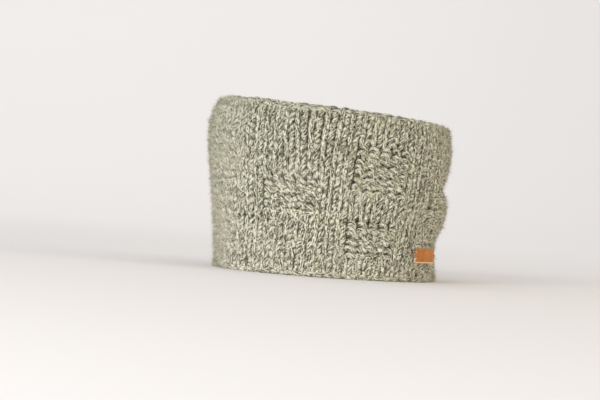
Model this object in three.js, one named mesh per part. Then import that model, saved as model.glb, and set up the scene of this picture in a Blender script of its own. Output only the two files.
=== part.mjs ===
// A hand-knitted ear warmer headband: a wide tube of chunky wool with a basket pattern of purl blocks,
// and a small leather label sewn on near its lower edge. It stands on the lower edge as it was worn.
// Millimetres, +Z up, the wearer's forehead towards -Y. A turn is an angle about Z, in degrees,
// 0 at the front and growing towards +X.
import * as THREE from "three";

// The band, over the crests of the stitches
const bandWidth = 191;
const bandDepth = 196;
const frontHeight = 127;
const sideRise = 5.7; // the upper edge is this much higher at the left and lower at the right
const wallThickness = 6.5;
const edgeRound = 2.2; // how far the wall's rounded upper and lower edges reach

// The stitches
const patternRepeats = 4; // times that the basket pattern goes round
const repeatWales = 16; // upright columns of stitches in one repeat
const rowCount = 26; // courses from the cast-on edge to the bind-off edge
const blockTurn = 26; // where the middle of the first column of blocks lies
const ribRelief = 1.3; // from the crest of a wale, or of a purl ridge, to the groove beside it

// The leather label and its two stitches
const labelLength = 38;
const labelHeight = 12;
const labelThickness = 1.7;
const labelTurn = 61.2;
const labelMiddleHeight = 20.9;
const labelCorner = 1.2; // how far the outer long edges are rounded off
const threadDiameter = 1.2;
const stitchReach = 3.4; // how far a stitch goes to each side of the label's end
const seatGap = 0.3; // between pieces that lie on each other

// How fine the curved pieces are
const innerStations = 9;
const labelStations = 14;
const threadSides = 8;
const threadSteps = 12;

// Half sizes of the band at shares of its height, as shares of half its width or depth
const sections = [
  { share: 0.0, left: 0.88, right: 0.935, front: 0.925, back: 0.9 },
  { share: 0.12, left: 0.893, right: 0.945, front: 0.952, back: 0.93 },
  { share: 0.3, left: 0.918, right: 0.965, front: 0.982, back: 0.968 },
  { share: 0.48, left: 0.948, right: 0.99, front: 1.0, back: 0.992 },
  { share: 0.66, left: 0.984, right: 0.99, front: 0.995, back: 1.0 },
  { share: 0.82, left: 1.0, right: 1.0, front: 0.978, back: 0.985 },
  { share: 0.92, left: 0.985, right: 0.99, front: 0.958, back: 0.96 },
  { share: 1.0, left: 0.955, right: 0.972, front: 0.94, back: 0.935 },
];

// Soft dents, each at a turn and a share of the height. Depth is a share of the wall's thickness,
// inwards, and a minus sign makes a bulge.
const dents = [
  { turn: 92, share: 0.6, halfTurn: 34, halfShare: 0.075, depth: 0.62 },
  { turn: 84, share: 0.21, halfTurn: 36, halfShare: 0.19, depth: 0.6 },
  { turn: 72, share: 0.44, halfTurn: 30, halfShare: 0.14, depth: -0.22 },
  { turn: 70, share: 0.82, halfTurn: 36, halfShare: 0.16, depth: -0.18 },
  { turn: -84, share: 1.02, halfTurn: 42, halfShare: 0.13, depth: 0.8 },
  { turn: -30, share: 0.3, halfTurn: 34, halfShare: 0.22, depth: 0.16 },
  { turn: 18, share: 0.9, halfTurn: 26, halfShare: 0.2, depth: 0.18 },
  { turn: 150, share: 0.42, halfTurn: 34, halfShare: 0.26, depth: 0.5 },
  { turn: 196, share: 0.85, halfTurn: 30, halfShare: 0.22, depth: 0.42 },
  { turn: 236, share: 0.3, halfTurn: 34, halfShare: 0.24, depth: 0.38 },
];

// The purl blocks of one repeat, in wales and rows
const blocks = [
  { wale: 0, row: 3, wales: 5, rows: 6 },
  { wale: 0, row: 13, wales: 5, rows: 8 },
  { wale: 8, row: 9, wales: 5, rows: 6 },
];

const waleCount = patternRepeats * repeatWales;
const waleTurn = 360 / waleCount;
const firstBlockMiddle = blocks[0].wale + blocks[0].wales / 2;

const sides = ["left", "right", "front", "back"];
const sectionCurve = new THREE.CubicInterpolant(
  sections.map((row) => row.share),
  sections.flatMap((row) => sides.map((side) => row[side])),
  sides.length,
);

// 1 at the middle of a dent, falling smoothly to 0 at its rim
function swell(distance) {
  return Math.abs(distance) < 1 ? 0.5 + 0.5 * Math.cos(Math.PI * distance) : 0;
}

function turnBetween(a, b) {
  return THREE.MathUtils.euclideanModulo(a - b + 180, 360) - 180;
}

function dentDepth(turn, share) {
  const depths = dents.map(
    (dent) =>
      dent.depth *
      swell(turnBetween(turn, dent.turn) / dent.halfTurn) *
      swell((share - dent.share) / dent.halfShare),
  );
  return wallThickness * depths.reduce((sum, depth) => sum + depth, 0);
}

function heightAt(turn) {
  return frontHeight - sideRise * Math.sin(THREE.MathUtils.degToRad(turn));
}

// A point of the band's outer surface, moved outwards by offset
function bandPoint(turn, height, offset) {
  const share = THREE.MathUtils.clamp(height / heightAt(turn), 0, 1);
  const [left, right, front, back] = sectionCurve.evaluate(share);
  const angle = THREE.MathUtils.degToRad(turn);
  const halfX = (bandWidth / 2) * (Math.sin(angle) > 0 ? right : left);
  const halfY = (bandDepth / 2) * (Math.cos(angle) > 0 ? front : back);
  const outwards = new THREE.Vector3(Math.sin(angle) / halfX, -Math.cos(angle) / halfY, 0).normalize();
  return new THREE.Vector3(halfX * Math.sin(angle), -halfY * Math.cos(angle), height).addScaledVector(
    outwards,
    offset - dentDepth(turn, share),
  );
}

function isPurl(wale, row) {
  const waleInRepeat = wale % repeatWales;
  return blocks.some(
    (block) =>
      waleInRepeat >= block.wale &&
      waleInRepeat < block.wale + block.wales &&
      row >= block.row &&
      row < block.row + block.rows,
  );
}

// How far the stitches lie below their crests: knit wales stand as upright ribs, with a groove on each
// side, and purl blocks as level ridges. Even columns lie between two wales and odd ones on a wale.
function grooveDepth(column, row) {
  const wale = Math.floor(column / 2);
  const onCrest = isPurl(wale, row) ? row % 2 === 1 : column % 2 === 1;
  return onCrest ? 0 : ribRelief;
}

// The closed section through the wall at one column: up the outside, over the upper edge, down the
// inside and back under the flat lower edge.
function wallSection(column) {
  const turn = blockTurn + (column / 2 - firstBlockMiddle) * waleTurn;
  const height = heightAt(turn);
  const rowHeight = (height - 2 * edgeRound) / rowCount;
  const quarter = wallThickness / 4;
  const points = [];
  for (let row = 0; row < rowCount; row++)
    points.push(bandPoint(turn, edgeRound + (row + 0.5) * rowHeight, -grooveDepth(column, row)));
  points.push(bandPoint(turn, height, -quarter), bandPoint(turn, height, -3 * quarter));
  for (let station = 0; station < innerStations; station++) {
    const share = 1 - (station + 0.5) / innerStations;
    points.push(bandPoint(turn, edgeRound + share * (height - 2 * edgeRound), -wallThickness));
  }
  points.push(bandPoint(turn, 0, -3 * quarter), bandPoint(turn, 0, -quarter));
  return points;
}

// Triangles between loops of points, each joined to the next. A ring joins the last to the first, and
// an open row of loops gets a flat cap at each end.
function loftGeometry(loops, isRing) {
  const around = loops[0].length;
  const bands = isRing ? loops.length : loops.length - 1;
  const index = [];
  for (let i = 0; i < bands; i++)
    for (let j = 0; j < around; j++) {
      const [a, b] = [i * around + j, i * around + ((j + 1) % around)];
      const next = ((i + 1) % loops.length) * around;
      const [c, d] = [next + j, next + ((j + 1) % around)];
      index.push(a, c, b, b, c, d);
    }
  const last = (loops.length - 1) * around;
  for (let j = 1; !isRing && j < around - 1; j++) {
    index.push(0, j, j + 1);
    index.push(last, last + j + 1, last + j);
  }
  const geometry = new THREE.BufferGeometry().setFromPoints(loops.flat());
  geometry.setIndex(index);
  geometry.computeVertexNormals();
  return geometry;
}

function knitBand() {
  const loops = Array.from({ length: 2 * waleCount }, (_, column) => wallSection(column));
  return loftGeometry(loops, true);
}

// The turn at a length along the band's outside from the label's middle
function labelTurnAt(length) {
  const beside = bandPoint(labelTurn, labelMiddleHeight, 0).distanceTo(
    bandPoint(labelTurn + 1, labelMiddleHeight, 0),
  );
  return labelTurn + length / beside;
}

// A point of the label's own surface, offset outwards from the wool. The leather is straight from its
// lower to its upper edge, so it bridges a hollow of the wool and is lifted by a bulge.
function labelPoint(length, height, offset) {
  const turn = labelTurnAt(length);
  const [low, middle, high] = [-0.5, 0, 0.5].map((share) =>
    bandPoint(turn, labelMiddleHeight + share * labelHeight, offset),
  );
  const reach = (point) => Math.hypot(point.x, point.y);
  const bulge = Math.max(0, reach(middle) - reach(low.clone().lerp(high, 0.5)));
  const point = low.lerp(high, 0.5 + height / labelHeight);
  return point.multiply(new THREE.Vector3(1 + bulge / reach(point), 1 + bulge / reach(point), 1));
}

// The label's cross-section at one length: a plate with its outer long edges rounded off
function labelSection(length) {
  const half = labelHeight / 2;
  const [under, over] = [seatGap, seatGap + labelThickness];
  const corner = Math.min(labelCorner, labelThickness, half);
  return [
    labelPoint(length, -half, under),
    labelPoint(length, -half, over - corner / 2),
    labelPoint(length, -half + corner / 2, over),
    labelPoint(length, half - corner / 2, over),
    labelPoint(length, half, over - corner / 2),
    labelPoint(length, half, under),
  ];
}

function label() {
  const loops = Array.from({ length: labelStations + 1 }, (_, station) =>
    labelSection((station / labelStations - 0.5) * labelLength),
  );
  return loftGeometry(loops, false);
}

// A stitch of thread from the label's face over its end and down to the wool. End is -1 at the
// label's front end and 1 at its rear end.
function stitch(end) {
  const radius = threadDiameter / 2;
  const onWool = seatGap + radius;
  const onLeather = seatGap + labelThickness + onWool;
  const labelEnd = labelLength / 2;
  const beyond = labelEnd + seatGap + radius;
  const route = [
    labelPoint(end * (labelEnd - stitchReach), 0, onLeather),
    labelPoint(end * labelEnd, 0, onLeather),
    labelPoint(end * beyond, 0, onLeather),
    labelPoint(end * (beyond + radius), 0, (onLeather + onWool) / 2),
    bandPoint(labelTurnAt(end * (labelEnd + stitchReach)), labelMiddleHeight, onWool),
  ];
  const section = new THREE.Shape(
    Array.from({ length: threadSides }, (_, side) =>
      new THREE.Vector2(radius, 0).rotateAround(new THREE.Vector2(), (side / threadSides) * 2 * Math.PI),
    ),
  );
  return new THREE.ExtrudeGeometry(section, {
    steps: threadSteps,
    extrudePath: new THREE.CatmullRomCurve3(route, false, "centripetal"),
  });
}

const wool = new THREE.MeshStandardMaterial({ color: 0xa49f8b, roughness: 1, metalness: 0 });
const leather = new THREE.MeshStandardMaterial({ color: 0xb57543, roughness: 0.55, metalness: 0 });
const thread = new THREE.MeshStandardMaterial({ color: 0x9a6236, roughness: 0.8, metalness: 0 });

function piece(name, geometry, material) {
  const mesh = new THREE.Mesh(geometry, material);
  mesh.name = name;
  return mesh;
}

const headband = new THREE.Group();
headband.add(
  piece("knit_band", knitBand(), wool),
  piece("leather_label", label(), leather),
  piece("label_stitch_front", stitch(-1), thread),
  piece("label_stitch_rear", stitch(1), thread),
);

// The origin is under the middle of the band, on the surface that it stands on
const middle = new THREE.Box3().setFromObject(headband).getCenter(new THREE.Vector3());
headband.position.set(-middle.x, -middle.y, 0);

export default headband;
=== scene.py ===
# The looks of a hand-knitted ear warmer headband: chunky heathered wool in a basket pattern, worked stitch
# by stitch, with a small leather label near its lower edge. Metres, +Z up, the wearer's forehead towards -Y.
# A turn is an angle about Z, in degrees, 0 at the front and growing towards +X. An offset is measured
# outwards from the crests of the stitches, and is below 0 inside the wall.
import math

import bpy
import numpy as np
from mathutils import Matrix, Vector


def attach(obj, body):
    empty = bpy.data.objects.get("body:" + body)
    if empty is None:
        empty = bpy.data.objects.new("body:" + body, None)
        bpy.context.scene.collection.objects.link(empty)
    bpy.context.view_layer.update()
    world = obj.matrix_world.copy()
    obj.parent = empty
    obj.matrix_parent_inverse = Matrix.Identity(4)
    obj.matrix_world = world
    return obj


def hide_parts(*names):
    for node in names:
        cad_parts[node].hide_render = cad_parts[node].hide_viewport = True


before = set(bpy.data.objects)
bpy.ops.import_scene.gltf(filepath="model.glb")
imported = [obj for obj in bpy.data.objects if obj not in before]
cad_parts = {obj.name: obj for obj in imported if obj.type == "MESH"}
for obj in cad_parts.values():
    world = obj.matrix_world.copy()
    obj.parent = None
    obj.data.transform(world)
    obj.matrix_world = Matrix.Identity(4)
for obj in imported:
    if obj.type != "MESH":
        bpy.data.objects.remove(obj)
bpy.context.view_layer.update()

MM = 0.001

# The band
BAND_WIDTH = 191 * MM
BAND_DEPTH = 196 * MM
FRONT_HEIGHT = 127 * MM
SIDE_RISE = 5.7 * MM
WALL = 6.5 * MM
EDGE_ROUND = 2.2 * MM
BAND_MIDDLE = np.array([0.294, -0.0315]) * MM
# share of the height, then half sizes to the left, right, front and back as shares of the half width or depth
SECTIONS = np.array([
    [0.00, 0.880, 0.935, 0.925, 0.900],
    [0.12, 0.893, 0.945, 0.952, 0.930],
    [0.30, 0.918, 0.965, 0.982, 0.968],
    [0.48, 0.948, 0.990, 1.000, 0.992],
    [0.66, 0.984, 0.990, 0.995, 1.000],
    [0.82, 1.000, 1.000, 0.978, 0.985],
    [0.92, 0.985, 0.990, 0.958, 0.960],
    [1.00, 0.955, 0.972, 0.940, 0.935],
])
# turn, share of the height, half turn, half share, depth as a share of the wall
DENTS = [
    (92, 0.60, 34, 0.075, 0.62),
    (84, 0.21, 36, 0.19, 0.60),
    (72, 0.44, 30, 0.14, -0.22),
    (70, 0.82, 36, 0.16, -0.18),
    (-84, 1.02, 42, 0.13, 0.80),
    (-30, 0.30, 34, 0.22, 0.16),
    (18, 0.90, 26, 0.20, 0.18),
    (150, 0.42, 34, 0.26, 0.50),
    (196, 0.85, 30, 0.22, 0.42),
    (236, 0.30, 34, 0.24, 0.38),
]

# The knitting
WALES = 64
COURSES = 26
REPEAT_WALES = 16
BLOCK_TURN = 26  # middle of the first column of purl blocks
# first wale, first course, wales and courses of each purl block in one repeat
PURL_BLOCKS = [(0, 3, 5, 6), (0, 13, 5, 8), (8, 9, 5, 6)]
FIRST_BLOCK_MIDDLE = PURL_BLOCKS[0][2] / 2  # in wales
WALE_TURN = 360 / WALES
STEPS = 20  # points of yarn in one stitch
POINTS = WALES * STEPS  # points of yarn in one course
SIDES = 8  # points round the yarn
YARN_RADIUS = 1.70 * MM
LOOP_REACH = 4.5 * MM  # from the middle of a stitch up to its head and down to its feet
LEG_SPREAD = 0.20  # how much a loop widens towards its head, in wales
LEAN = 0.045  # how far a loop's head leans to the right of its feet, in wales
LOOP_DEPTH = 1.80 * MM  # how far the legs come forward of the middle of the wall
YARN_MIDDLE = -WALL / 2 - 0.6 * MM  # offset of the stitches' middle, since their bloom adds to the wall
PURL_LEGS = -0.7  # how far a purl stitch's legs come forward, as a share of a loop's depth
PURL_REACH = 0.6 * MM  # how much further a purl stitch reaches than a knit one
PURL_SLANT = 1.3 * MM  # how far a purl stitch's legs lie off the level through its middle
KNIT_SLANT = 0.25 * MM
THICKER_CRESTS = 0.13  # how much thicker the yarn is at its crests, and thinner between them
TWIST = 48  # turns of the yarn's twist in one course
PLY_RELIEF = 0.03  # how far the two plies stand out, as a share of the yarn's radius
FLATNESS = 0.06  # how much broader than round the yarn is, and as much flatter
LOWEST_YARN = 1.5 * MM
RIGHT_EAR = -86  # turns of the band over the wearer's ears, where wear has felted the wool most
LEFT_EAR = 92
# Of each edge's chain: how far it lies from the edge, how far its face is tilted up, in radians, the breadth
# of its loops, how far it lies out of the stitches' middle, and its yarn's radius as a share of the courses'
LOWER_CHAIN = (2.1 * MM, 0.25, 0.75 * MM, 0.9 * MM, 0.98)
UPPER_CHAIN = (2.7 * MM, 1.1, 1.75 * MM, 0, 0.86)
CHAIN_LOOP = 0.62  # half the length of a chain's loop, in wales
PIECE_NAMES = ["knit_lower", "knit_lower_middle", "knit_upper_middle", "knit_upper"]

# The leather label
LABEL_LENGTH = 38 * MM
LABEL_HEIGHT = 12 * MM
LABEL_THICKNESS = 1.7 * MM
LABEL_TURN = 61.2
LABEL_MIDDLE_HEIGHT = 20.9 * MM
THREAD_DIAMETER = 1.2 * MM
STITCH_REACH = 3.4 * MM
SEAT_GAP = 0.3 * MM
CUT_EDGE_BREADTH = 0.75 * MM  # of the paler strip along the label's lower edge

WELD = 0.001 * MM  # points of a piece that lie closer than this become one

random = np.random.default_rng(64)


def section_sizes(share):
    """The four half sizes at a share of the height."""
    shares, sizes = SECTIONS[:, 0], SECTIONS[:, 1:]
    slopes = np.diff(sizes, axis=0) / np.diff(shares)[:, None]
    tangents = np.vstack([slopes[:1], (slopes[:-1] + slopes[1:]) / 2, slopes[-1:]])
    share = np.clip(share, 0, 1)
    low = np.clip(np.searchsorted(shares, share, side="right") - 1, 0, len(shares) - 2)
    step = (shares[low + 1] - shares[low])[..., None]
    p = (share - shares[low])[..., None] / step
    return (
        (2 * p**3 - 3 * p**2 + 1) * sizes[low]
        + (p**3 - 2 * p**2 + p) * step * tangents[low]
        + (3 * p**2 - 2 * p**3) * sizes[low + 1]
        + (p**3 - p**2) * step * tangents[low + 1]
    )


def swell(distance):
    """1 at the middle of a dent, falling smoothly to 0 at its rim."""
    return np.where(np.abs(distance) < 1, 0.5 + 0.5 * np.cos(math.pi * distance), 0.0)


def turn_between(a, b):
    return (a - b + 180) % 360 - 180


def band_height(turn):
    return FRONT_HEIGHT - SIDE_RISE * np.sin(np.radians(turn))


def band_point(turn, height, offset):
    """A point of the band, and the level direction outwards there."""
    turn, height, offset = np.broadcast_arrays(turn, height, offset)
    share = np.clip(height / band_height(turn), 0, 1)
    left, right, front, back = np.moveaxis(section_sizes(share), -1, 0)
    angle = np.radians(turn)
    across, along = np.sin(angle), -np.cos(angle)
    half_x = BAND_WIDTH / 2 * np.where(across > 0, right, left)
    half_y = BAND_DEPTH / 2 * np.where(along < 0, front, back)
    outwards = np.stack([across / half_x, along / half_y, np.zeros_like(across)], -1)
    outwards /= np.linalg.norm(outwards, axis=-1, keepdims=True)
    depth = sum(
        d * swell(turn_between(turn, t) / half_turn) * swell((share - s) / half_share)
        for t, s, half_turn, half_share, d in DENTS
    )
    point = np.stack([half_x * across, half_y * along, height], -1)
    point += outwards * (offset - WALL * depth)[..., None]
    point[..., :2] -= BAND_MIDDLE
    return point, outwards


def turn_of(points):
    return np.degrees(np.arctan2(points[:, 0], -points[:, 1]))


def unit(vectors):
    return vectors / np.linalg.norm(vectors, axis=1, keepdims=True)


def deselect():
    bpy.ops.object.select_all(action="DESELECT")


def weld(faces_outwards=False):
    """Makes one of the active piece's points that lie on each other."""
    bpy.ops.object.mode_set(mode="EDIT")
    bpy.ops.mesh.select_all(action="SELECT")
    bpy.ops.mesh.remove_doubles(threshold=WELD)
    if faces_outwards:
        bpy.ops.mesh.normals_make_consistent(inside=False)
    bpy.ops.object.mode_set(mode="OBJECT")


def place_points(mesh, points):
    mesh.vertices.foreach_set("co", points.astype(np.float32).ravel())


def add_attribute(mesh, name, values):
    mesh.attributes.new(name, "FLOAT", "POINT").data.foreach_set("value", values.astype(np.float32).ravel())


def join(name, parts):
    deselect()
    for part in parts:
        part.select_set(True)
    bpy.context.view_layer.objects.active = parts[0]
    bpy.ops.object.join()
    piece = bpy.context.object
    piece.name = piece.data.name = name
    return piece


# The knitting, stitch by stitch


def wander(knots, size):
    """A smooth random wave along a course, with so many knots."""
    values = random.normal(0, size, knots)
    place = np.arange(POINTS) * knots / POINTS
    low = place.astype(int)
    blend = 0.5 - 0.5 * np.cos(math.pi * (place - low))
    return values[low % knots] * (1 - blend) + values[(low + 1) % knots] * blend


def purl_chart():
    """-1 for a purl and 1 for a knit stitch, by course and wale. The courses past the edges are knit."""
    chart = np.ones((COURSES + 2, WALES))
    for wale, course, wales, courses in PURL_BLOCKS:
        for repeat in range(0, WALES, REPEAT_WALES):
            columns = np.arange(wale, wale + wales) + repeat
            chart[course : course + courses, columns % WALES] = -1
    return chart


CHART = purl_chart()


def leaning(turn, height):
    """How far the wales wander sideways from upright, in degrees."""
    # They lean to the right as they rise, and most right of the middle.
    lean = 0.03 + 0.075 * np.exp(-((turn_between(turn, 30) / 24) ** 2))
    drift = (height - 82 * MM) * lean / (BAND_WIDTH / 2)
    # Left of the middle they fan out towards the upper edge.
    beside = turn_between(turn, -9)
    drift = drift + np.radians(beside) * 0.35 * swell(beside / 20) * swell((height - 128 * MM) / (34 * MM))
    angle, rise = np.radians(turn), height / FRONT_HEIGHT
    wave = 0.010 * np.sin(3 * angle + 5 * rise + 1) + 0.007 * np.sin(7 * angle - 7 * rise)
    return np.degrees(drift + wave)


def felting(turn, height):
    """How far wear has matted the wool: in patches, over the ears, and most over the wearer's right one."""
    angle, rise = np.radians(turn), height / FRONT_HEIGHT
    patches = np.sin(6 * angle + 5 * rise + 0.6) * np.sin(4 * angle - 9 * rise + 2.0)
    worn = swell(turn_between(turn, RIGHT_EAR) / 60) + 0.45 * swell(turn_between(turn, LEFT_EAR) / 45)
    return np.clip(worn + 0.35 * (patches - 0.1), 0, 1)


def wrapped(grid):
    """A grid's values, with its first column and its first row again at the end, where it closes."""
    grid = np.concatenate([grid, grid[:, :1]], axis=1)
    return np.concatenate([grid, grid[:1]], axis=0)


def tube(name, path, outwards, radius, deep):
    """A ring of yarn along a closed path. A grid gives it its faces and UV map, and is rolled up into a tube.

    Deep is how far the path lies from the middle of the wall. The nearer the yarn lies to that middle, the
    darker the painted shade in its colour.
    """
    deselect()
    bpy.ops.mesh.primitive_grid_add(x_subdivisions=POINTS, y_subdivisions=SIDES)
    ring = bpy.context.object
    ring.name = name
    tangent = unit(np.roll(path, -1, axis=0) - np.roll(path, 1, axis=0))
    side = unit(np.cross(outwards, tangent))
    front = np.cross(tangent, side)
    around = -np.arange(SIDES)[:, None] * 2 * math.pi / SIDES - math.pi / 2
    ply = 2 * around + np.arange(POINTS) / POINTS * TWIST * 2 * math.pi
    size = radius * (1 + PLY_RELIEF * np.cos(ply))
    sideways = np.cos(around) * size * (1 + FLATNESS)
    forwards = np.sin(around) * size * (1 - FLATNESS)
    place = path + sideways[..., None] * side + forwards[..., None] * front
    # Where the band stands on it, the yarn is pressed flat.
    place[..., 2] = np.maximum(place[..., 2], 0)
    felted = np.broadcast_to(felting(turn_of(path), path[:, 2]), forwards.shape)
    # Painted shade: how far each point lies from the middle of the wall, which darkens the wool's colour.
    add_attribute(ring.data, "out of wall", wrapped(np.abs(deep + forwards)) / MM)
    add_attribute(ring.data, "felted", wrapped(felted))
    place_points(ring.data, wrapped(place))
    weld()
    return ring


yarns = []  # path, outward direction, radius and side of every course's yarn, for the hairs


def course_phases():
    """The wale of each point of a course, and how far round its stitch the point is."""
    number = np.arange(POINTS)
    return number // STEPS, (number % STEPS) / STEPS * 2 * math.pi


def course(number):
    """One course of stitches all round the band."""
    wale, phase = course_phases()
    here, above = CHART[number], CHART[number + 1]
    side = here[wale]
    purl = side < 0
    # The feet lie behind a knit stitch and before a purl one, and between the two they cross over.
    before, after = here[(wale - 1) % WALES], here[(wale + 1) % WALES]
    foot = np.where(phase < math.pi, -(before + side) / 2, -(after + side) / 2)
    head = -above[wale]
    end = np.where(np.cos(phase) > 0, foot, head)
    # The legs behind a purl block lie close to its bumps.
    legs = np.where(purl, PURL_LEGS, 1)
    forward = end + (legs - end) * (0.5 - 0.5 * np.cos(2 * phase))

    turn = BLOCK_TURN + (wale + phase / (2 * math.pi) - FIRST_BLOCK_MIDDLE) * WALE_TURN
    tall = band_height(turn)
    height = EDGE_ROUND + (number + 0.5) * (tall - 2 * EDGE_ROUND) / COURSES
    # High up on the label's side the stitches are worked more loosely.
    loose = swell(turn_between(turn, 36) / 22) * swell((height / tall - 0.88) / 0.12)

    reach = LOOP_REACH * (1 + wander(WALES * 2, 0.05)) + np.where(purl, PURL_REACH, 0)
    # The outermost feet and heads end in the edge chains.
    down = reach * (0.6 if number == 0 else 1)
    up = reach * (0.7 if number == COURSES - 1 else 1)
    rise = np.where(np.cos(phase) > 0, -down, up) * np.abs(np.cos(phase))
    rise = rise - np.where(purl, PURL_SLANT, KNIT_SLANT) * np.sin(2 * phase)
    spread = LEG_SPREAD * (1 + 0.25 * loose) * (1 + wander(WALES, 0.12))
    across = spread * np.sin(2 * phase) - LEAN * np.cos(phase) + wander(WALES * 4, 0.036)
    turn = turn + (across - loose * 0.04 * np.sin(phase)) * WALE_TURN
    # No hand works quite evenly, least of all in the purl blocks, and felting blurs the stitches further.
    uneven = np.where(purl, 1.6, 1.0) * (1 + 0.5 * felting(turn, height))
    height = height + rise + wander(WALES * 4, 0.33 * MM) * uneven
    height = np.maximum(height + wander(18, 0.35 * MM), LOWEST_YARN)
    offset = (
        YARN_MIDDLE
        + forward * LOOP_DEPTH * (1 + 0.2 * loose) * (1 - 0.4 * felting(turn, height))
        - np.where(purl, 0.35 * MM, 0) * np.cos(phase)
        + wander(WALES * 2, 0.24 * MM) * uneven
    )
    # The wale beside a purl block rolls over the block's edge.
    edge = (side > 0) * (before < 0) * np.sin(phase / 2) ** 2
    offset = offset + 0.5 * MM * edge
    turn = turn - 0.10 * WALE_TURN * edge
    turn = turn + leaning(turn, height)
    radius = YARN_RADIUS * (1 + wander(WALES, 0.06) + wander(24, 0.05)) * (1 - 0.07 * loose)
    radius = radius * (1 + THICKER_CRESTS * (2 * np.minimum(forward**2, 1) - 1))
    radius = radius * (1 + 0.15 * felting(turn, height))
    path, outwards = band_point(turn, height, offset)
    yarns.append((path, outwards, radius, forward))
    # The bumps of the purl blocks lie closer, and get less painted shade.
    deep = offset - YARN_MIDDLE
    deep = deep + np.sign(deep) * np.where(purl, 1.15 * MM, 0)
    return tube("course", path, outwards, radius, deep)


def edge_chain(at_top):
    """The chain of loops that lies along an edge."""
    inset, tilt, breadth, out, thickness = UPPER_CHAIN if at_top else LOWER_CHAIN
    wale, phase = course_phases()
    along = wale + phase / (2 * math.pi) - FIRST_BLOCK_MIDDLE - CHAIN_LOOP * np.cos(phase)
    turn = BLOCK_TURN + along * WALE_TURN
    turn = turn + wander(WALES * 2, 0.05) * WALE_TURN
    breadth = breadth * (1 + wander(WALES, 0.25))
    sideways = breadth * np.sin(phase) + wander(40, 0.3 * MM)
    forward = -1.0 * MM * np.cos(2 * phase) + wander(WALES, 0.25 * MM)
    base = band_height(turn) - inset if at_top else inset
    height = base + sideways * math.cos(tilt) + forward * math.sin(tilt)
    offset = YARN_MIDDLE + forward * math.cos(tilt) - sideways * math.sin(tilt) + out
    turn = turn + leaning(turn, height)
    path, outwards = band_point(turn, height, offset)
    path[:, 2] = height
    radius = YARN_RADIUS * thickness * (1 + wander(WALES, 0.08) + wander(24, 0.05))
    yarns.append((path, outwards, radius, np.ones(POINTS)))
    # The chains' painted shade follows how far their yarn lies from the stitches' middle.
    return tube("chain", path, outwards, radius, np.hypot(offset - YARN_MIDDLE, sideways) + 0.6 * MM)


def number_uv(ring, number):
    """Moves a ring's UV map to its own place, so that no two courses look alike."""
    uv = np.empty(len(ring.data.loops) * 2, np.float32)
    layer = ring.data.uv_layers[0].data
    layer.foreach_get("uv", uv)
    uv[0::2] += number
    layer.foreach_set("uv", uv)


def shader(name):
    material = bpy.data.materials.new(name)
    material.use_nodes = True
    tree = material.node_tree
    return material, tree, tree.nodes["Principled BSDF"]


def node(tree, kind, inputs=None, **settings):
    made = tree.nodes.new(kind)
    for key, value in settings.items():
        setattr(made, key, value)
    for key, value in (inputs or {}).items():
        if isinstance(value, bpy.types.NodeSocket):
            tree.links.new(value, made.inputs[key])
        else:
            made.inputs[key].default_value = value
    return made


def ramp(tree, factor, stops):
    made = node(tree, "ShaderNodeValToRGB", {"Fac": factor})
    elements = made.color_ramp.elements
    while len(elements) < len(stops):
        elements.new(0.5)
    for element, (place, colour) in zip(elements, stops):
        element.position = place
        element.color = (*colour, 1)
    return made.outputs["Color"]


def add_relief(tree, principled, height, strength, distance):
    bump = node(tree, "ShaderNodeBump", {"Height": height, "Strength": strength, "Distance": distance})
    tree.links.new(bump.outputs["Normal"], principled.inputs["Normal"])


def set_finish(principled, roughness, specular):
    principled.inputs["Roughness"].default_value = roughness
    principled.inputs["Specular IOR Level"].default_value = specular


def object_place(tree):
    return node(tree, "ShaderNodeTexCoord").outputs["Object"]


DARK_FIBRE = (0.044, 0.040, 0.009)
MIDDLE_FIBRE = (0.362, 0.347, 0.245)
LIGHT_FIBRE = (0.775, 0.758, 0.635)
# the felted wool's even tone, set lighter as painted light on the flank over the wearer's right ear
FELTED_AND_LIT_WOOL = (0.535, 0.517, 0.402)
GREEN_TINT = (0.92, 1.0, 0.89)
# painted light near the lower edge, and painted shade with a greener heather near the upper one
LOWER_PAINTED_LIGHT = (1.055, 1.05, 1.06)
UPPER_SHADE_AND_GREEN = (0.885, 0.892, 0.86)
DARK_HAIR = (0.090, 0.082, 0.040)
LIGHT_HAIR = (0.860, 0.845, 0.730)
# painted shade for the core that shows in the gaps between the stitches
MATTED_SHADE_DARK = (0.028, 0.025, 0.008)
MATTED_SHADE_LIGHT = (0.220, 0.205, 0.122)


def painted_shade_upwards(tree, place, colour):
    """The same colour with painted light and shade: a little lighter near the lower edge, and darker near the
    upper one, where the heather is also greener.
    """
    height = node(tree, "ShaderNodeSeparateXYZ", {"Vector": place}).outputs["Z"]
    share = node(tree, "ShaderNodeMath", {0: height, 1: FRONT_HEIGHT}, operation="DIVIDE", use_clamp=True)
    tints = {"Factor": share.outputs[0], 4: LOWER_PAINTED_LIGHT, 5: UPPER_SHADE_AND_GREEN}
    tint = node(tree, "ShaderNodeMix", tints, data_type="VECTOR").outputs[1]
    return node(tree, "ShaderNodeVectorMath", {0: colour, 1: tint}, operation="MULTIPLY").outputs[0]


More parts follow.
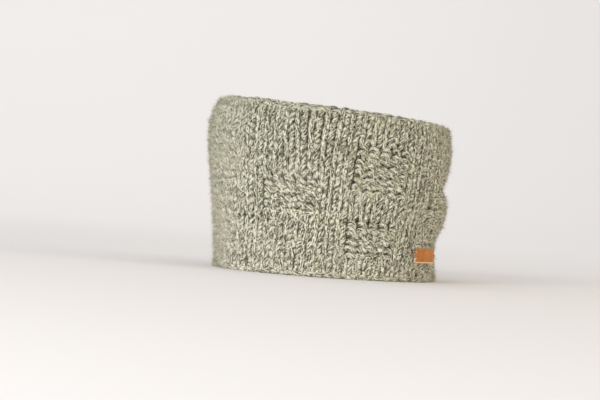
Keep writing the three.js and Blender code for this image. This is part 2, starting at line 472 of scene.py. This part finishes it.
def wool_material():
    """Heathered wool: dark and light fibres that run along the yarn and turn with its twist."""
    material, tree, principled = shader("heathered wool")
    uv = node(tree, "ShaderNodeUVMap", uv_map="UVMap")
    split = node(tree, "ShaderNodeSeparateXYZ", {"Vector": uv.outputs["UV"]})
    along, around = split.outputs["X"], split.outputs["Y"]
    turned = node(
        tree, "ShaderNodeMath", {0: along, 1: float(TWIST), 2: around}, operation="MULTIPLY_ADD"
    ).outputs[0]
    angle = node(tree, "ShaderNodeMath", {0: turned, 1: 2 * math.pi}, operation="MULTIPLY").outputs[0]
    cosine = node(tree, "ShaderNodeMath", {0: angle}, operation="COSINE").outputs[0]
    sine = node(tree, "ShaderNodeMath", {0: angle}, operation="SINE").outputs[0]

    def fibres(lengthwise, crosswise, detail):
        """Noise drawn out along the yarn: so many spots in a course's length, and so many across a radius."""
        x, y, z = (
            node(tree, "ShaderNodeMath", {0: value, 1: scale}, operation="MULTIPLY").outputs[0]
            for value, scale in ((along, lengthwise), (cosine, crosswise), (sine, crosswise))
        )
        spot = node(tree, "ShaderNodeCombineXYZ", {"X": x, "Y": y, "Z": z}).outputs[0]
        settings = {"Vector": spot, "Scale": 1.0, "Detail": detail, "Roughness": 0.5}
        return node(tree, "ShaderNodeTexNoise", settings).outputs["Fac"]

    strands = fibres(560.0, 2.2, 1.0)
    locks = fibres(330.0, 0.8, 2.0)
    hairs = fibres(900.0, 3.0, 1.0)
    place = object_place(tree)
    flecks = node(tree, "ShaderNodeTexNoise", {"Vector": place, "Scale": 900.0, "Detail": 0.5}).outputs["Fac"]
    mixed = 0.0
    for noise, weight in ((strands, 0.43), (locks, 0.06), (hairs, 0.275), (flecks, 0.235)):
        mixed = node(
            tree, "ShaderNodeMath", {0: noise, 1: weight, 2: mixed}, operation="MULTIPLY_ADD"
        ).outputs[0]
    colour = ramp(tree, mixed, [(0.444, DARK_FIBRE), (0.491, MIDDLE_FIBRE), (0.538, LIGHT_FIBRE)])

    # Here and there the heather is greener.
    patches = node(tree, "ShaderNodeTexNoise", {"Vector": place, "Scale": 75.0, "Detail": 1.0}).outputs["Fac"]
    green_span = {"Value": patches, "From Min": 0.52, "From Max": 0.70, "To Min": 0.0, "To Max": 0.5}
    green = node(tree, "ShaderNodeMapRange", green_span).outputs["Result"]
    colour = node(
        tree, "ShaderNodeMix", {0: green, 6: colour, 7: (*GREEN_TINT, 1)},
        data_type="RGBA", blend_type="MULTIPLY",
    ).outputs[2]

    # Painted shade: deep in the wall the wool's colour is darker. Where it is felted, it is more even and
    # lets less of that painted shade show.
    depth = node(tree, "ShaderNodeAttribute", attribute_name="out of wall").outputs["Fac"]
    open_span = {"Value": depth, "From Min": 0.5, "From Max": 2.8, "To Min": 0.36, "To Max": 1.0}
    openness = node(tree, "ShaderNodeMapRange", open_span).outputs["Result"]
    felted = node(tree, "ShaderNodeAttribute", attribute_name="felted").outputs["Fac"]
    felted_and_lit_share, open_share = (
        node(tree, "ShaderNodeMath", {0: felted, 1: share}, operation="MULTIPLY").outputs[0]
        for share in (0.6, 0.78)
    )
    # Where it is felted, the wool takes an even tone of its own. That tone is set lighter than the heather as
    # painted light, most on the flank over the wearer's right ear.
    felted_and_lit = node(
        tree, "ShaderNodeMix", {0: felted_and_lit_share, 6: colour, 7: (*FELTED_AND_LIT_WOOL, 1)}, data_type="RGBA"
    ).outputs[2]
    opened = node(tree, "ShaderNodeMix", {0: open_share, 2: openness, 3: 0.93}, data_type="FLOAT").outputs[0]
    shaded = node(
        tree, "ShaderNodeMix", {0: 1.0, 6: felted_and_lit, 7: opened}, data_type="RGBA", blend_type="MULTIPLY"
    ).outputs[2]
    # Painted light and shade from the lower edge to the upper one.
    tree.links.new(painted_shade_upwards(tree, place, shaded), principled.inputs["Base Color"])
    relief = node(tree, "ShaderNodeMath", {0: hairs, 1: 0.5, 2: strands}, operation="MULTIPLY_ADD").outputs[0]
    add_relief(tree, principled, relief, 0.7, 0.6 * MM)
    set_finish(principled, 0.95, 0.15)
    principled.inputs["Sheen Weight"].default_value = 0.35
    principled.inputs["Sheen Roughness"].default_value = 0.6
    return material


WOOL = wool_material()

rings = [course(number) for number in range(COURSES)]
rings.insert(0, edge_chain(at_top=False))
rings.append(edge_chain(at_top=True))
for number, ring in enumerate(rings):
    number_uv(ring, number)
rings_each = len(rings) // len(PIECE_NAMES)
knitting = []
for number, name in enumerate(PIECE_NAMES):
    piece = join(name, rings[number * rings_each : (number + 1) * rings_each])
    piece.data.materials.clear()
    piece.data.materials.append(WOOL)
    piece.data.shade_smooth()
    knitting.append(piece)


# The label's place, which the hairs keep clear of


def label_turn_at(length):
    """The turn at a length along the band from the label's middle."""
    here, beside = (band_point(turn, LABEL_MIDDLE_HEIGHT, 0)[0] for turn in (LABEL_TURN, LABEL_TURN + 1))
    return LABEL_TURN + length / np.linalg.norm(beside - here)


def label_point(length, height, offset):
    """A point over the wool, from the label's middle. The leather is straight from edge to edge."""
    turn = label_turn_at(length)
    low, middle, high = (
        band_point(turn, LABEL_MIDDLE_HEIGHT + share * LABEL_HEIGHT, offset)[0] for share in (-0.5, 0, 0.5)
    )

    def reach(point):
        return np.hypot(point[..., 0], point[..., 1])

    bulge = np.maximum(0, reach(middle) - reach((low + high) / 2))
    share = (0.5 + height / LABEL_HEIGHT)[..., None]
    point = low * (1 - share) + high * share
    point[..., :2] *= (1 + bulge / reach(point))[..., None]
    return point


# The felted core and the hairs


def shaded_matted_core():
    """The fibres that fill the wall between the stitches of its two faces, as one thin felted ring. Its
    colour is painted shade, far darker than the yarn, for the gaps between the stitches.
    """
    around, rows = 128, 30
    deselect()
    bpy.ops.mesh.primitive_grid_add(x_subdivisions=around, y_subdivisions=rows)
    sheet = bpy.context.object
    sheet.name = sheet.data.name = "knit_core_shaded"
    turn = np.arange(around + 1) % around * 360 / around
    share = np.linspace(0.02, 0.98, rows + 1)[:, None]
    turn, share = np.broadcast_arrays(turn, share)
    place_points(sheet.data, band_point(turn, share * band_height(turn), YARN_MIDDLE)[0])
    weld()
    wall = sheet.modifiers.new("wall", "SOLIDIFY")
    wall.thickness = 1.2 * MM
    wall.offset = 0
    bpy.ops.object.modifier_apply(modifier="wall")
    sheet.data.shade_smooth()
    material, tree, principled = shader("shaded core wool")
    noise = {"Vector": object_place(tree), "Scale": 900.0, "Detail": 3.0, "Roughness": 0.65}
    fibre = node(tree, "ShaderNodeTexNoise", noise).outputs["Fac"]
    # Painted shade: both tones are far darker than the yarn's, for the shade seen in the gaps between the
    # stitches.
    colour = ramp(tree, fibre, [(0.38, MATTED_SHADE_DARK), (0.66, MATTED_SHADE_LIGHT)])
    tree.links.new(colour, principled.inputs["Base Color"])
    add_relief(tree, principled, fibre, 0.8, 0.5 * MM)
    set_finish(principled, 1.0, 0.1)
    sheet.data.materials.append(material)
    return sheet


def hair_roots(count, towards_edges):
    """Places on the yarn's open side, with the direction away from the yarn and the one along it."""
    tries = 3 * count
    ring = (random.beta(towards_edges, towards_edges, tries) * len(yarns)).astype(int)
    ring = np.minimum(ring, len(yarns) - 1)
    spot = random.integers(0, POINTS, tries)
    # The sides over the ears are the felted ones, and the wearer's right one most.
    ear = np.where(random.random(tries) < 0.72, RIGHT_EAR, LEFT_EAR)
    worn = ((random.normal(ear, 16, tries) - BLOCK_TURN) / 360 * WALES + FIRST_BLOCK_MIDDLE) % WALES * STEPS
    spot = np.where(random.random(tries) < 0.32, worn, spot).astype(int) % POINTS
    path, outwards, radius, side = (np.stack(column)[ring, spot] for column in zip(*yarns))
    beyond = np.stack([yarn[0] for yarn in yarns])[ring, (spot + 1) % POINTS]
    along = unit(beyond - path)
    across = np.cross(outwards, along)
    angle = random.normal(0, 0.7, tries)[:, None]
    away = (np.cos(angle) * outwards + np.sin(angle) * across) * np.where(side < 0, -1, 1)[:, None]
    # Wear brushes up the outer face, and most where the wool is felted. Under the label there are none.
    turn = turn_of(path)
    brushed = np.where(side > 0, 0.62 + 0.38 * felting(turn, path[:, 2]), 0.2)
    covered = np.abs(turn_between(turn, LABEL_TURN)) < label_turn_at(LABEL_LENGTH / 2) - LABEL_TURN
    covered &= np.abs(path[:, 2] - LABEL_MIDDLE_HEIGHT) < LABEL_HEIGHT / 2
    kept = np.flatnonzero((random.random(tries) < brushed) & ~covered)[:count]
    return (path + away * (radius * 0.8)[:, None])[kept], away[kept], along[kept]


THIRDS = (0, 2 * math.pi / 3, 4 * math.pi / 3)
SPIKE_FACES = [(0, 2, 1), (0, 1, 3), (1, 2, 3), (2, 0, 3)]
BENT_FACES = [
    (0, 2, 1), (0, 1, 4), (0, 4, 3), (1, 2, 5), (1, 5, 4),
    (2, 0, 3), (2, 3, 5), (3, 4, 6), (4, 5, 6), (5, 3, 6),
]


def spikes(root, tip, width):
    """Straight three-sided hairs, closed at the root."""
    lean = unit(tip - root)
    first = unit(np.cross(lean, random.normal(0, 1, root.shape)))
    second = np.cross(lean, first)
    corners = [root + (math.cos(turn) * first + math.sin(turn) * second) * width for turn in THIRDS]
    return np.stack([*corners, tip], axis=1)


def hair_piece(name, vertices, faces):
    """One joined mesh of many alike hairs, each with a tone of its own from dark to light."""
    count, corners = vertices.shape[:2]
    tone = np.repeat(random.uniform(0, 1, count), corners)
    vertices[..., 2] = np.maximum(vertices[..., 2], 0.1 * MM)
    faces = (np.array(faces)[None] + corners * np.arange(count)[:, None, None]).reshape(-1, 3)
    mesh = bpy.data.meshes.new(name)
    mesh.from_pydata(vertices.reshape(-1, 3), [], faces)
    add_attribute(mesh, "tone", tone)
    hairs = bpy.data.objects.new(name, mesh)
    bpy.context.collection.objects.link(hairs)
    mesh.materials.append(HAIR)
    return hairs


def short_hairs(count, reach, widths):
    """The wool's bloom. The two widths are half the narrowest and the broadest hair's, in millimetres."""
    root, away, _ = hair_roots(count, 0.9)
    count = len(root)
    lean = unit(away * random.uniform(0.2, 1.0, (count, 1)) + random.normal(0, 0.45, (count, 3)))
    length = reach * np.minimum(random.lognormal(0, 0.35, (count, 1)), 1.6)
    return spikes(root, root + lean * length, random.uniform(*widths, (count, 1)) * MM)


def bent_spikes(root, middle, tip, width):
    """Three-sided hairs with one bend, closed at the root."""
    first = unit(np.cross(unit(middle - root), random.normal(0, 1, root.shape)))
    second = unit(np.cross(middle - root, first))
    corners = [
        centre + (math.cos(turn) * first + math.sin(turn) * second) * width * share
        for centre, share in ((root, 1.0), (middle, 0.8))
        for turn in THIRDS
    ]
    return np.stack([*corners, tip], axis=1)


def label_fringe(count):
    """Hairs of the wool that lie over the label's upper edge and its ends."""
    beside = random.random(count) < 0.06
    length = random.uniform(-0.52, 0.52, count) * LABEL_LENGTH
    height = random.uniform(-0.5, 0.5, count) * LABEL_HEIGHT
    end = np.where(length < 0, -1, 1)
    slant = random.normal(0, 0.9, count) * MM
    face = SEAT_GAP + LABEL_THICKNESS

    def beyond_edge(distance, sideways, offset):
        """A point past the upper edge or past an end, over the leather where the distance is below 0."""
        return label_point(
            np.where(beside, end * (LABEL_LENGTH / 2 + distance), length + sideways),
            np.where(beside, height + sideways, LABEL_HEIGHT / 2 + distance),
            offset,
        )

    root = beyond_edge(random.uniform(0.4, 2.0, count) * MM, 0, 0)
    distance, lift = random.uniform(0.0, 0.3, count) * MM, random.uniform(0.1, 0.5, count) * MM
    middle = beyond_edge(distance, slant * 0.4, face + lift)
    distance, lift = random.uniform(-2.0, -0.3, count) * MM, random.uniform(0.05, 0.5, count) * MM
    tip = beyond_edge(distance, slant, face + lift)
    return bent_spikes(root, middle, tip, random.uniform(0.10, 0.18, (count, 1)) * MM)


def long_hairs(count, reach):
    """Single fibres that have worked loose."""
    root, away, along = hair_roots(count, 0.8)
    count = len(root)
    start = away * random.uniform(0.25, 1.0, (count, 1)) + along * random.normal(0, 0.9, (count, 1))
    start = unit(start + random.normal(0, 0.35, (count, 3)))
    bend = unit(start + random.normal(0, 0.55, (count, 3)) - away * 0.25)
    length = reach * np.minimum(random.lognormal(0, 0.45, (count, 1)), 2)
    middle = root + start * length * 0.45
    tip = middle + bend * length * 0.55
    return bent_spikes(root, middle, tip, random.uniform(0.05, 0.09, (count, 1)) * MM)


def hair_material():
    material, tree, principled = shader("wool hair")
    tone = node(tree, "ShaderNodeAttribute", attribute_name="tone").outputs["Fac"]
    stops = [(0.0, DARK_HAIR), (0.35, MIDDLE_FIBRE), (0.75, LIGHT_FIBRE), (1.0, LIGHT_HAIR)]
    # The hairs get the same painted light and shade, and the same greener heather near the upper edge.
    colour = painted_shade_upwards(tree, object_place(tree), ramp(tree, tone, stops))
    tree.links.new(colour, principled.inputs["Base Color"])
    set_finish(principled, 0.8, 0.2)
    return material


HAIR = hair_material()
core = shaded_matted_core()
hairs = [
    hair_piece("knit_bloom", short_hairs(40000, 2.1 * MM, (0.10, 0.20)), SPIKE_FACES),
    hair_piece("knit_halo", short_hairs(49000, 3.4 * MM, (0.06, 0.15)), SPIKE_FACES),
    hair_piece(
        "knit_loose_hairs", np.concatenate([long_hairs(3000, 3.4 * MM), label_fringe(450)]), BENT_FACES
    ),
]
for piece in knitting + [core] + hairs:
    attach(piece, "root")
    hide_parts("knit_band")


# The label


def leather_label():
    deselect()
    bpy.ops.mesh.primitive_cube_add(size=1)
    label = bpy.context.object
    label.name = label.data.name = "label_leather"
    bpy.ops.transform.resize(value=(LABEL_LENGTH, LABEL_HEIGHT, LABEL_THICKNESS))
    bpy.ops.object.transform_apply(location=False, rotation=False, scale=True)
    bpy.ops.object.mode_set(mode="EDIT")
    bpy.ops.mesh.select_all(action="SELECT")
    bpy.ops.mesh.bevel(offset=0.42 * MM, segments=3)
    for axis, size, cuts in ((0, LABEL_LENGTH, 40), (1, LABEL_HEIGHT, 12)):
        for cut in range(1, cuts):
            place, normal = [0.0, 0.0, 0.0], [0.0, 0.0, 0.0]
            place[axis], normal[axis] = (cut / cuts - 0.5) * size, 1.0
            bpy.ops.mesh.select_all(action="SELECT")
            bpy.ops.mesh.bisect(plane_co=place, plane_no=normal)
    bpy.ops.object.mode_set(mode="OBJECT")
    faces = label.data.polygons
    # The cut edge and the skived strip along it are paler than the grain side.
    cut_edge = [
        (abs(face.normal.z) < 0.75 and face.normal.y < 0.2 and face.center.y < -0.15 * LABEL_HEIGHT)
        or face.center.y < CUT_EDGE_BREADTH - LABEL_HEIGHT / 2
        for face in faces
    ]
    corners = np.array([vertex.co for vertex in label.data.vertices])
    place = label_point(corners[:, 0], corners[:, 1], SEAT_GAP + LABEL_THICKNESS / 2 + corners[:, 2])
    place_points(label.data, place)
    label.data.update()
    for finish in (leather_material(), cut_edge_material()):
        label.data.materials.append(finish)
    for face, edge in zip(faces, cut_edge):
        face.material_index = int(edge)
    deselect()
    label.select_set(True)
    bpy.ops.object.mode_set(mode="EDIT")
    bpy.ops.mesh.select_all(action="SELECT")
    bpy.ops.mesh.normals_make_consistent(inside=False)
    bpy.ops.object.mode_set(mode="OBJECT")
    bpy.ops.object.shade_smooth_by_angle(angle=math.radians(35))
    return label


def leather_material():
    material, tree, principled = shader("tan leather")
    place = object_place(tree)
    noise = {"Vector": place, "Scale": 160.0, "Detail": 4.0, "Roughness": 0.6}
    cloud = node(tree, "ShaderNodeTexNoise", noise).outputs["Fac"]
    stops = [(0.35, (0.44, 0.147, 0.024)), (0.52, (0.528, 0.192, 0.036)), (0.68, (0.60, 0.248, 0.056))]
    tree.links.new(ramp(tree, cloud, stops), principled.inputs["Base Color"])
    grain = node(tree, "ShaderNodeTexVoronoi", {"Vector": place, "Scale": 2600.0}).outputs["Distance"]
    noise = {"Vector": place, "Scale": 700.0, "Detail": 3.0}
    creases = node(tree, "ShaderNodeTexNoise", noise).outputs["Fac"]
    relief = node(tree, "ShaderNodeMath", {0: creases, 1: 0.8, 2: grain}, operation="MULTIPLY_ADD").outputs[0]
    add_relief(tree, principled, relief, 0.35, 0.12 * MM)
    gloss = node(tree, "ShaderNodeMapRange", {"Value": cloud, "To Min": 0.5, "To Max": 0.68})
    tree.links.new(gloss.outputs["Result"], principled.inputs["Roughness"])
    principled.inputs["Specular IOR Level"].default_value = 0.22
    return material


def fibre_material(name, noise, stops, relief, roughness):
    """A matte material with two tones of fibre. Relief is its strength and how far it reaches."""
    material, tree, principled = shader(name)
    fibre = node(tree, "ShaderNodeTexNoise", {"Vector": object_place(tree), **noise}).outputs["Fac"]
    tree.links.new(ramp(tree, fibre, stops), principled.inputs["Base Color"])
    add_relief(tree, principled, fibre, *relief)
    principled.inputs["Roughness"].default_value = roughness
    return material


def cut_edge_material():
    noise = {"Scale": 1500.0, "Detail": 3.0, "Roughness": 0.6}
    stops = [(0.35, (0.76, 0.52, 0.32)), (0.65, (0.94, 0.76, 0.56))]
    return fibre_material("cut leather edge", noise, stops, (0.6, 0.15 * MM), 0.85)


def thread_material():
    noise = {"Scale": 2500.0, "Detail": 2.0}
    stops = [(0.38, (0.18, 0.062, 0.02)), (0.62, (0.66, 0.36, 0.17))]
    return fibre_material("brown thread", noise, stops, (0.5, 0.1 * MM), 0.7)


THREAD = thread_material()


def label_stitch(name, end):
    """Two plies of thread twisted together, from the leather over the label's end to the wool."""
    radius = THREAD_DIAMETER / 2
    on_wool = SEAT_GAP + radius
    on_leather = SEAT_GAP + LABEL_THICKNESS + radius
    label_end = LABEL_LENGTH / 2
    middle = np.zeros(1)
    route = np.concatenate([
        label_point(end * (label_end - STITCH_REACH) + middle, middle, on_leather - 1.6 * radius),
        label_point(end * (label_end - 0.72 * STITCH_REACH) + middle, middle, on_leather),
        label_point(end * (label_end - 0.1 * STITCH_REACH) + middle, middle, on_leather),
        label_point(end * (label_end + SEAT_GAP + radius) + middle, middle, (on_leather + on_wool) / 2),
        label_point(end * (label_end + 0.6 * STITCH_REACH) + middle, middle, on_wool),
        band_point(label_turn_at(end * (label_end + STITCH_REACH)), LABEL_MIDDLE_HEIGHT, -radius)[0][None],
    ])
    steps = np.linspace(0, len(route) - 1, 41)
    path = np.stack([np.interp(steps, np.arange(len(route)), route[:, axis]) for axis in range(3)], axis=1)
    for _ in range(6):
        path[1:-1] = (path[:-2] + 2 * path[1:-1] + path[2:]) / 4
    tangent = unit(np.gradient(path, axis=0))
    first = unit(np.cross(tangent, (0, 0, 1)))
    second = np.cross(tangent, first)
    angle = np.linspace(0, 5 * math.pi, len(path))[:, None]
    plies = []
    for start in (0, math.pi):
        helix = path + (np.cos(angle + start) * first + np.sin(angle + start) * second) * radius * 0.45
        deselect()
        bpy.ops.curve.primitive_nurbs_path_add()
        ply = bpy.context.object
        spline = ply.data.splines[0]
        spline.points.add(len(helix) - len(spline.points))
        for point, place in zip(spline.points, helix):
            point.co = (*place, 1)
        ply.data.resolution_u = 2
        ply.data.bevel_depth = radius * 0.55
        ply.data.bevel_resolution = 2
        ply.data.use_fill_caps = True
        bpy.ops.object.convert(target="MESH")
        weld(faces_outwards=True)
        plies.append(bpy.context.object)
    stitch = join(name, plies)
    stitch.data.materials.clear()
    stitch.data.materials.append(THREAD)
    stitch.data.shade_smooth()
    return stitch


for name, end in (("label_stitch_front", -1), ("label_stitch_rear", 1)):
    stitch = label_stitch(name + "_thread", end)
    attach(stitch, "root")
    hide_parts(name)

label = leather_label()
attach(label, "root")
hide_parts("leather_label")


# The stage

SWEEP_WIDTH = 16
SWEEP_LENGTH = 20  # of the flat sheet, before it is bent
SWEEP_RADIUS = 1.8
NEAR_EDGE = -5.4
FLOOR_SHARE = 0.4  # of the sheet's length that lies flat
BEND_SHARE = 0.3


def backdrop():
    """A pale floor that sweeps up into a wall far behind."""
    deselect()
    bpy.ops.mesh.primitive_grid_add(x_subdivisions=1, y_subdivisions=40, size=1)
    sweep = bpy.context.object
    sweep.name = "backdrop"
    for vertex in sweep.data.vertices:
        along = vertex.co.y + 0.5
        bend = np.clip((along - FLOOR_SHARE) / BEND_SHARE, 0, 1) * math.pi / 2
        wall_share = max(0.0, along - FLOOR_SHARE - BEND_SHARE)
        depth = NEAR_EDGE + SWEEP_LENGTH * min(along, FLOOR_SHARE) + SWEEP_RADIUS * math.sin(bend)
        height = SWEEP_RADIUS * (1 - math.cos(bend)) + SWEEP_LENGTH * wall_share
        vertex.co = (SWEEP_WIDTH * vertex.co.x, depth, height)
    sweep.data.shade_smooth()
    material, _, principled = shader("pale backdrop")
    principled.inputs["Base Color"].default_value = (0.81, 0.793, 0.785, 1)
    set_finish(principled, 0.9, 0.1)
    sweep.data.materials.append(material)


backdrop()


def softbox(name, place, target, size, power, colour=(1, 1, 1)):
    data = bpy.data.lights.new(name, "AREA")
    data.shape = "DISK"
    data.size = size
    data.energy = power
    data.color = colour
    light = bpy.data.objects.new(name, data)
    bpy.context.collection.objects.link(light)
    light.location = place
    light.rotation_euler = (Vector(target) - Vector(place)).to_track_quat("-Z", "Y").to_euler()


softbox("key", (-1.15, -1.75, 0.66), (0, 0, 0.06), 1.2, 28)
softbox("warm fill", (1.3, -0.5, 0.5), (0.05, 0, 0.07), 0.7, 4.2, (1, 0.72, 0.32))
softbox("backdrop light", (-0.9, 1.6, 3.0), (-0.5, 4.4, 1.0), 2.5, 40)

world = bpy.data.worlds.new("studio")
world.use_nodes = True
background = world.node_tree.nodes["Background"]
background.inputs["Color"].default_value = (1.0, 0.99, 0.985, 1)
background.inputs["Strength"].default_value = 0.70
bpy.context.scene.world = world
bpy.context.scene.view_settings.view_transform = "Standard"

camera_data = bpy.data.cameras.new("camera")
camera_data.lens = 120.4
camera_data.sensor_width = 36
camera_data.clip_end = 50
camera = bpy.data.objects.new("camera", camera_data)
bpy.context.collection.objects.link(camera)
camera.location = (-0.0203, -1.58, 0.0564)
camera.rotation_euler = (math.radians(90), math.radians(-4.1), 0)
bpy.context.scene.camera = camera
